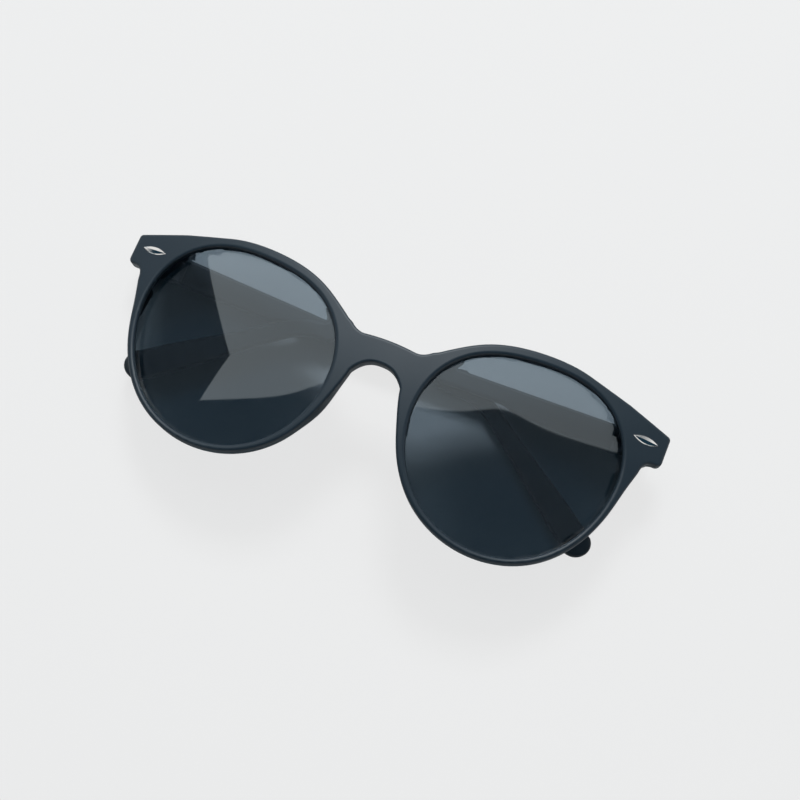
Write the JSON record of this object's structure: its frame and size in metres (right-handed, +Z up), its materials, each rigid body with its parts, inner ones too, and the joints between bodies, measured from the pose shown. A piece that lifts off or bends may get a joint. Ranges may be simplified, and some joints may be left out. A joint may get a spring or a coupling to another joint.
{
  "type": "round sunglasses",
  "caption": "Round panto sunglasses with a matt plastic front, grey lenses, leaf-shaped inlays and barrel hinges, shown folded and lying face up.",
  "frame": {"origin": "on the floor under the middle of the folded object's box", "axes": "+X to the wearer's left along the front, +Y towards the brow, +Z up, the way the folded front faces"},
  "size_m": [0.145, 0.0532, 0.0291],
  "materials": {
    "frame_plastic": "soft matt, fine grain",
    "lens": "polished grey tint",
    "bright_metal": "polished",
    "hinge_metal": "satin"
  },
  "bodies": {
    "front": {"front": "frame_plastic", "lens_left": "lens", "lens_right": "lens", "inlay_left": "bright_metal", "inlay_right": "bright_metal", "front_leaf_left": "hinge_metal", "front_leaf_right": "hinge_metal", "leaf_pins_front": "hinge_metal", "hinge_screw_left": "hinge_metal", "hinge_screw_right": "hinge_metal"},
    "left_arm": {"arm_left": "frame_plastic", "arm_leaf_left": "hinge_metal", "leaf_pins_arm_left": "hinge_metal"},
    "right_arm": {"arm_right": "frame_plastic", "arm_leaf_right": "hinge_metal", "leaf_pins_arm_right": "hinge_metal"}
  },
  "joints": [
    {"name": "left_arm_hinge", "type": "hinge", "parent": "front", "child": "left_arm", "pos_m": [0.06641, 0.01601, 0.01006], "axis": [0, -1, 0], "range_deg": [0, 91.9]},
    {"name": "right_arm_hinge", "type": "hinge", "parent": "front", "child": "right_arm", "pos_m": [-0.06613, 0.01601, 0.0059], "axis": [0, 1, 0], "range_deg": [0, 88.2]}
  ]
}
